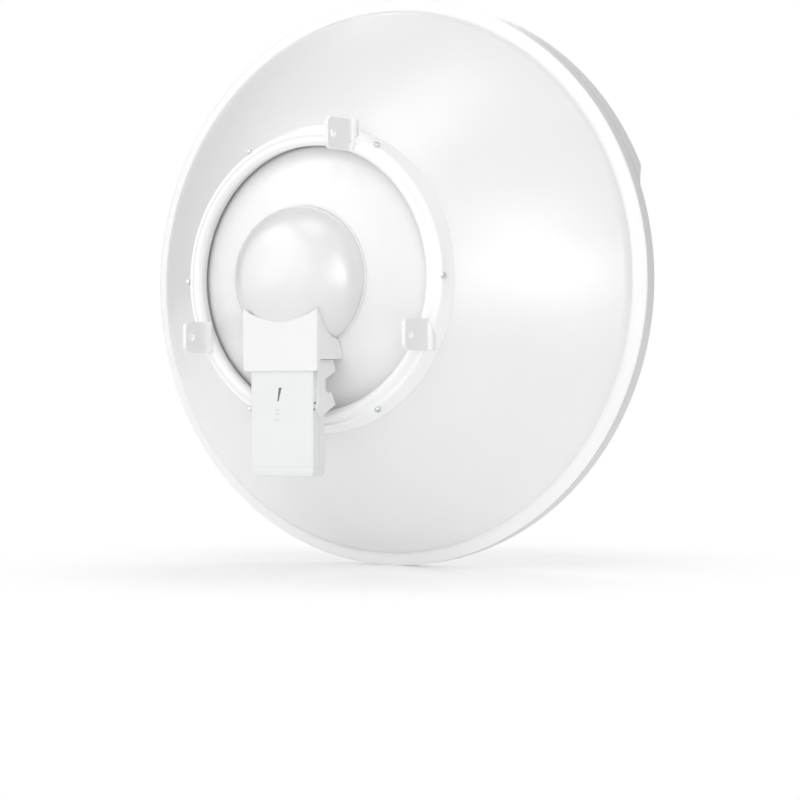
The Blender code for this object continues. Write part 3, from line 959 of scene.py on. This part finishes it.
def roundedBox(half, low, high, corner):
    outline = []
    for x, z, start in ((half - corner, high - corner, 0), (-half + corner, high - corner, 90),
                        (-half + corner, low + corner, 180), (half - corner, low + corner, 270)):
        outline += arc((x, z), corner, start, start + 90, radio["cornerPoints"])
    return outline


# the radio's outline drawn in by an inset, above or below the door's joint
def radioOutline(inset, part):
    half = radio["half"] - inset
    corner = max(radio["corner"] - inset, radio["leastCorner"])
    topPoints = 2 * radio["cornerPoints"]
    joint = radio["bottom"] + radio["door"]
    whole = roundedBox(half, radio["bottom"] + inset, radio["top"] - inset, corner)
    if part == "door":
        joint -= dish["tight"]
        return [(half, joint), (-half, joint)] + whole[topPoints:]
    joint += dish["tight"]
    return whole[:topPoints] + [(-half, joint), (half, joint)]


# inset and depth behind the face, from the face round its edge and along a side
def sideProfile(start, end, ribs, border):
    turn = radio["edgeRound"]
    drop = radio["borderDrop"] if border else 0.0
    profile = [(turn + radio["border"], start)] if border else []
    sign = 1 if end > start else -1
    for angle in spread(90, 0, 6):
        a = radians(angle)
        profile.append((turn * (1 - cos(a)), start + sign * (drop + turn * (1 - sin(a)))))
    for depth in ribs:
        wide = radio["grooveWide"] / 2
        profile += [(0.0, depth - wide), (wide, depth - wide / 3), (wide, depth + wide / 3),
                    (0.0, depth + wide)]
    return profile + [(0.0, end)]


def makeRadioShell(name, node, part, face, profile):
    sections = [[(x, depth - face, z) for x, z in radioOutline(inset, part)]
                for inset, depth in profile]
    piece = plate(name, sections, "texturedPolycarbonate")
    flattenShading(piece, True)
    dress(piece, "radio_plastic", node)


def makeRadio():
    face = cradle["back"] - cradle["thick"] - dish["tight"]
    split = radio["split"]
    thick = radio["thick"]
    deep = radio["grooveDeep"]
    wide = radio["grooveWide"]
    groove = [(0.0, split - wide), (deep, split - wide), (deep, split)]
    rear = sideProfile(0.0, split - wide, radio["ribs"], True)[:-1] + groove
    front = sideProfile(thick, split + dish["tight"], (), False)
    makeRadioShell("radioRearShell", "radio_rear_shell", "shell", face, rear)
    makeRadioShell("radioFrontShell", "radio_front_shell", "shell", face, front)
    door = rear[:-1] + [(deep, split + dish["tight"]), (0.0, split + dish["tight"])]
    makeRadioShell("radioPortDoor", "radio_port_door", "door", face, door + front[::-1][1:])
    makeFaceMarks(face)
    makeSideMarks(face)


# a slot and a pin in the right side, near the face
def makeSideMarks(face):
    bm = bmesh.new()
    near, far, height, width = radio["slot"]
    depth, pinHeight, radius = radio["pin"]
    slot = barOutline((near + far) / 2, height, far - near, width)
    pin = arc((depth, pinHeight), radius, 0, 345, 24)
    for outline in (slot, pin):
        bridgeSections(bm, [[(x, d - face, z) for d, z in outline]
                            for x in (radio["half"] - radio["sideSunk"],
                                      radio["half"] + radio["sideProud"])])
    dress(meshPiece("radioSideMarks", bm, "darkNylon"), "radio_plastic")


# low inlays or a ridge on the face from (x, height) outlines
def faceMark(name, face, outlines, proud, finishName):
    bm = bmesh.new()
    for outline in outlines:
        bridgeSections(bm, [[(x, -depth, z) for x, z in outline]
                            for depth in (face - radio["faceSunk"], face + proud)])
    dress(meshPiece(name, bm, finishName), "radio_plastic")


def barOutline(x, z, width, height):
    return roundCorners([(x - width / 2, z - height / 2), (x + width / 2, z - height / 2),
                         (x + width / 2, z + height / 2), (x - width / 2, z + height / 2)],
                        height * radio["endRound"])


# a tapered signal bar over three small lamps, and a low finger grip along the door's foot
def makeFaceMarks(face):
    (highX, high), (lowX, low) = radio["lampBar"]
    wide, thin = radio["lampBarHalf"]
    barProud, lampProud, gripProud = radio["faceProud"]
    bar = roundCorners([(highX - wide, high), (highX + wide, high), (lowX + thin, low),
                        (lowX - thin, low)], radio["lampBarRound"])
    faceMark("radioSignalBar", face, [bar], barProud, "smokedPolycarbonate")
    dots = [barOutline(x, z, *radio["lampDotSize"]) for x, z in radio["lampDots"]]
    faceMark("radioLamps", face, dots, lampProud, "frostedPolycarbonate")
    left, right, height, width = radio["grip"]
    grip = barOutline((left + right) / 2, height, right - left, width)
    faceMark("radioDoorGrip", face, [grip], gripProud, "texturedPolycarbonate")


# Bracket behind the radio

bracket = {
    "thick": 0.0025,
    "webThick": 0.0025,
    "webTop": -0.0885,
    "webBottom": -0.1480,
    "corner": 0.0010,
    "edgeRound": 0.0004,
    "arm": ((0.2240, -0.0888), (0.1915, -0.0888), (0.1881, -0.1013), (0.2107, -0.1110),
            (0.2107, -0.1217), (0.2027, -0.1250), (0.1966, -0.1240), (0.1885, -0.1380),
            (0.2191, -0.1505), (0.2271, -0.1405), (0.2240, -0.1335)),
}


def makeBracket():
    gap = dish["gap"]
    inner = radio["half"] + dish["tight"]
    for side, name in ((-1, "left"), (1, "right")):
        lowX, highX = sorted((side * inner, side * (inner + bracket["thick"])))
        outline = roundCorners(bracket["arm"], bracket["corner"])
        arm = plateAcross(f"bracketArm{name.title()}", outline, lowX, highX, "satinAbs")
        softenEdges(arm, bracket["edgeRound"])
        dress(arm, "white_plastic", f"bracket_{name}_arm")
    back = cradle["back"] - cradle["thick"] - radio["thick"] - 2 * gap
    half = radio["half"]
    outline = [(half, bracket["webBottom"]), (half, bracket["webTop"]),
               (-half, bracket["webTop"]), (-half, bracket["webBottom"])]
    web = plateFacingBack("bracketWeb", outline, back - bracket["webThick"], back, "satinAbs")
    softenEdges(web, bracket["edgeRound"])
    dress(web, "white_plastic", "bracket_web")


# Feed on the front of the bowl

feed = {
    "tubeRadius": 0.0300,
    "tubeWall": 0.0030,
    "tubeFront": 0.1120,
    "tubeBack": 0.2200,
    "collarRadius": 0.0520,
    "collarThick": 0.0050,
    "boreStep": 0.0030,
    "neckRadius": 0.0340,
    "neckLength": 0.0140,
    "headRadius": 0.0440,
    "headFront": 0.0700,
    "headSkirt": 0.0100,
    "screws": 4,
    "screwCircle": 0.0430,
    "screw": {"head": 0.0032, "height": 0.0022, "across": 0.003, "deep": 0.0012},
    "tubeRound": 0.0005,
    "collarRound": 0.0018,
    "collarEdge": 0.0002,
    # in from the head's radius, with distances forward of its back and back of its front
    "headSide": ((0.004, 0.0), (0.001, 0.0012), (0.0, 0.004)),
    "headCap": ((0.0, 0.012), (0.0009, 0.0082), (0.003, 0.005), (0.0065, 0.0025), (0.011, 0.001),
                (0.0286, 0.0001), (0.0440, 0.0)),
    "steps": 96,
}


def makeFeed():
    gap = dish["gap"]
    tube = feed["tubeRadius"]
    bore = tube - feed["tubeWall"]
    wall = roundCorners([(tube, feed["tubeBack"]), (tube, feed["tubeFront"]),
                         (bore, feed["tubeFront"]), (bore, feed["tubeBack"])],
                        feed["tubeRound"])
    dress(turnedPiece("feedTube", wall, "satinAbs", feed["steps"]), "white_plastic",
          "feed_tube")
    collarFront = bowlDepthAt(dish["holeRadius"]) - dish["sheet"] - feed["collarThick"]
    seat = [(r, bowlDepthAt(r) - dish["sheet"] - 2 * gap)
            for r in spread(dish["holeRadius"], feed["collarRadius"], 5)]
    collar = [(tube + gap, bowlDepthAt(0) - dish["sheet"] - feed["boreStep"])] + seat
    neckFront = collarFront - feed["neckLength"]
    bends = roundCorners([(feed["collarRadius"], seat[-1][1] - feed["collarEdge"]),
                          (feed["collarRadius"], collarFront), (feed["neckRadius"], collarFront),
                          (feed["neckRadius"], neckFront), (tube + gap, neckFront)],
                         feed["collarRound"])
    perCorner = dish["cornerSteps"] + 1
    collar += bends[perCorner:-perCorner] + [(tube + gap, neckFront)]
    dress(turnedPiece("feedCollar", collar, "satinAbs", feed["steps"]), "white_plastic",
          "feed_collar")
    makeFeedHead()
    for i in range(feed["screws"]):
        angle = 2 * pi * (i + 0.5) / feed["screws"]
        seatPoint = Vector((feed["screwCircle"] * cos(angle), gap - collarFront,
                            feed["screwCircle"] * sin(angle)))
        makeScrew(f"feedScrewHead{i + 1}", f"feed_screw_{i + 1}",
                  placeAlong(seatPoint, Vector((0, 1, 0)), "X"), feed["screw"])


def makeFeedHead():
    gap = dish["gap"]
    tube = feed["tubeRadius"]
    radius = feed["headRadius"]
    back = feed["tubeFront"] + feed["headSkirt"]
    front = feed["headFront"]
    side = [(radius - inward, back - ahead) for inward, ahead in feed["headSide"]]
    cap = [(radius - inward, front + behind) for inward, behind in feed["headCap"]]
    outline = [(tube + gap, back)] + throughPoints(side, 4) + throughPoints(cap, 5)
    outline += [(0.0, feed["tubeFront"] - gap), (tube + gap, feed["tubeFront"] - gap)]
    dress(turnedPiece("feedHeadCap", outline, "polishedAsa", feed["steps"]), "white_plastic",
          "feed_head")


# Studio: pale floor, soft lights, camera where the photograph was taken from

camera = {
    "location": (1.58403, -2.66056, -0.10672),
    "panDegrees": 30.58,
    "tiltDegrees": -0.517,
    "rollDegrees": 0.245,
    "clipEnd": 50.0,
    "focalPixels": 2691.0,
    "framePixels": 800,
    "sensorMm": 36.0,
}

studio = {
    "seenWhite": 1.0,
    "floorColour": "#F3F3F3",
    "floorIor": 1.12,
    "floorHazeMm": 180.0,
    "floorRoughness": (0.172, 0.180),
    "floorGlow": 0.125,
    "floorFade": (0.20, 0.52),  # where the floor turns to plain white for the camera
    "floorSize": 90.0,
    "lampDistance": 3.2,
    # azimuth from straight behind the dish towards its right, elevation, half width, strength
    "lobes": {
        "behindCamera": (0, 0, 70, 0.55),
        "overheadRight": (40, 50, 70, 0.57),
        "overhead": (0, 90, 70, 0.36),
        "left": (-45, 25, 40, 0.58),
        "lowLeft": (-30, 10, 30, 0.33),
        "upperLeft": (-40, 55, 35, 0.10),
        "farLeft": (-120, 10, 70, 0.40),
        "farRight": (120, 10, 70, 0.35),
        "front": (180, 10, 70, 0.44),
    },
    # azimuth, elevation, half width, brightness of what it lights and of what it shines on
    "lamps": {
        "rightEdge": (70, 3, 10, 0.0, 3.35),
        "rightSoftbox": (58, 3, 10, 0.0, 1.69),
        "rightInner": (46, 3, 10, 0.0, 1.37),
        "rightFill": (34, 3, 10, 2.76, 0.0),
        "rightUpper": (62, 20, 10, 0.0, 2.29),
        "rightUpperInner": (46, 20, 10, 0.0, 0.32),
        "overheadBack": (30, 50, 14, 1.44, 0.53),
        "overhead": (10, 70, 16, 0.0, 1.19),
        "leftHigh": (-50, 45, 16, 0.0, 0.84),
        "leftSoftbox": (-38, 5, 50, 0.0, 1.05),
        "leftLow": (-62, 5, 12, 0.26, 0.0),
        "frontSoftbox": (-150, 42, 14, 0.0, 5.00),
        "frontFill": (-158, 45, 18, 2.40, 0.0),
    },
}


def makeFloor():
    material, tree, shader, place = startMaterial("paleAcrylicFloor")
    haze = grainAt(tree, place, studio["floorHazeMm"], 2.0)
    varyRoughness(tree, shader, haze, studio["floorRoughness"])
    white = (1.0, 1.0, 1.0, 1.0)
    setUp(shader, {"Base Color": linearColour(studio["floorColour"]), "IOR": studio["floorIor"],
                   "Emission Color": white, "Emission Strength": studio["floorGlow"]})
    away = addNode(tree, "VectorMath", {"operation": "LENGTH"}, {0: (place, "Object")})
    near, far = studio["floorFade"]
    fade = {"interpolation_type": "SMOOTHSTEP", "From Min": near, "From Max": far}
    fade = addNode(tree, "MapRange", fade, {"Value": (away, "Value")})
    rays = addNode(tree, "LightPath")
    feeds = {0: (fade, "Result"), 1: (rays, "Is Camera Ray")}
    share = addNode(tree, "Math", {"operation": "MULTIPLY"}, feeds)
    seen = addNode(tree, "Emission", {"Color": white, "Strength": studio["seenWhite"]})
    feeds = {0: (share, "Value"), 1: (shader, "BSDF"), 2: (seen, "Emission")}
    faded = addNode(tree, "MixShader", None, feeds)
    output = tree.nodes["Material Output"]
    tree.links.new(faded.outputs["Shader"], output.inputs["Surface"])
    half = studio["floorSize"] / 2
    mesh = bpy.data.meshes.new("paleFloor")
    corners = [(-half, -half, 0), (half, -half, 0), (half, half, 0), (-half, half, 0)]
    mesh.from_pydata(corners, [], [(0, 1, 2, 3)])
    mesh.materials.append(material)
    floor = addObject("paleFloor", mesh)
    floor.location = (rimCentre.x, rimCentre.y, floorHeight)


def towards(azimuth, elevation):
    pan = radians(azimuth)
    lift = radians(elevation)
    return Vector((sin(pan) * cos(lift), -cos(pan) * cos(lift),
                   sin(lift)))


# the room: a sum of wide soft lobes of light, seen as plain white by the camera
def makeRoom():
    world = bpy.data.worlds.new("softWhiteRoom")
    bpy.context.scene.world = world
    world.use_nodes = True
    tree = world.node_tree
    tree.nodes.clear()
    place = addNode(tree, "TexCoord")
    total = None
    for azimuth, elevation, halfWidth, strength in studio["lobes"].values():
        aim = {"operation": "DOT_PRODUCT", 1: towards(azimuth, elevation)}
        near = addNode(tree, "VectorMath", aim, {0: (place, "Generated")})
        shape = {
            "interpolation_type": "SMOOTHSTEP",
            "From Min": cos(radians(halfWidth)),
            "To Max": strength,
        }
        lobe = addNode(tree, "MapRange", shape, {"Value": (near, "Value")})
        if total:
            feeds = {0: (total, 0), 1: (lobe, "Result")}
            total = addNode(tree, "Math", {"operation": "ADD"}, feeds)
        else:
            total = lobe
    rays = addNode(tree, "LightPath")
    white = {"Color": (1.0, 1.0, 1.0, 1.0)}
    lit = addNode(tree, "Background", white, {"Strength": (total, 0)})
    seen = addNode(tree, "Background", dict(white, Strength=studio["seenWhite"]))
    feeds = {0: (rays, "Is Camera Ray"), 1: (lit, "Background"), 2: (seen, "Background")}
    mixed = addNode(tree, "MixShader", None, feeds)
    addNode(tree, "OutputWorld", None, {"Surface": (mixed, "Shader")})


def makeLamps():
    for name, (azimuth, elevation, halfWidth, lit, shine) in studio["lamps"].items():
        for part, brightness in (("Fill", lit), ("Shine", shine)):
            if brightness:
                lamp = addLamp(name + part, azimuth, elevation, halfWidth, brightness)
                lamp.visible_diffuse = part == "Fill"
                lamp.visible_glossy = part == "Shine"


def addLamp(name, azimuth, elevation, halfWidth, brightness):
    radius = studio["lampDistance"] * tan(radians(halfWidth))
    lamp = bpy.data.lights.new(name, "AREA")
    lamp.shape = "DISK"
    lamp.size = 2 * radius
    lamp.energy = pi ** 2 * radius ** 2 * brightness
    holder = addObject(name, lamp)
    away = towards(azimuth, elevation)
    holder.location = rimCentre + away * studio["lampDistance"]
    holder.rotation_euler = (-away).to_track_quat("-Z", "Y").to_euler()
    return holder


def makeCamera():
    lens = bpy.data.cameras.new("photoCamera")
    lens.sensor_width = camera["sensorMm"]
    lens.lens = camera["focalPixels"] / camera["framePixels"] * camera["sensorMm"]
    lens.clip_end = camera["clipEnd"]
    holder = addObject("photoCamera", lens)
    pan = radians(camera["panDegrees"])
    tilt = radians(camera["tiltDegrees"])
    ahead = Vector((-sin(pan) * cos(tilt), cos(pan) * cos(tilt),
                    sin(tilt)))
    roll = Quaternion((0, 0, 1), -radians(camera["rollDegrees"]))
    holder.rotation_mode = "QUATERNION"
    holder.rotation_quaternion = ahead.to_track_quat("-Z", "Y") @ roll
    holder.location = rimCentre + Vector(camera["location"])
    bpy.context.scene.camera = holder


makeCamera()
makeFloor()
makeRoom()
makeLamps()
print("studio ready")
makeReflector()
makeRimBand()
makeTopStrip()
makeMountingRing()
print("reflector, band, strip and ring made")
for number, (earName, (earFace, earMiddle)) in enumerate(ears["places"].items()):
    makeEar(earName, earFace, earMiddle)
    makeEarWeld(earName, earFace, earMiddle, number)
makeHubDome()
makeCradle()
makeBracket()
makeRadio()
print("ears, dome, cradle, bracket and radio made")
makeFeed()
print("feed made")

bpy.context.scene.view_settings.view_transform = "Standard"
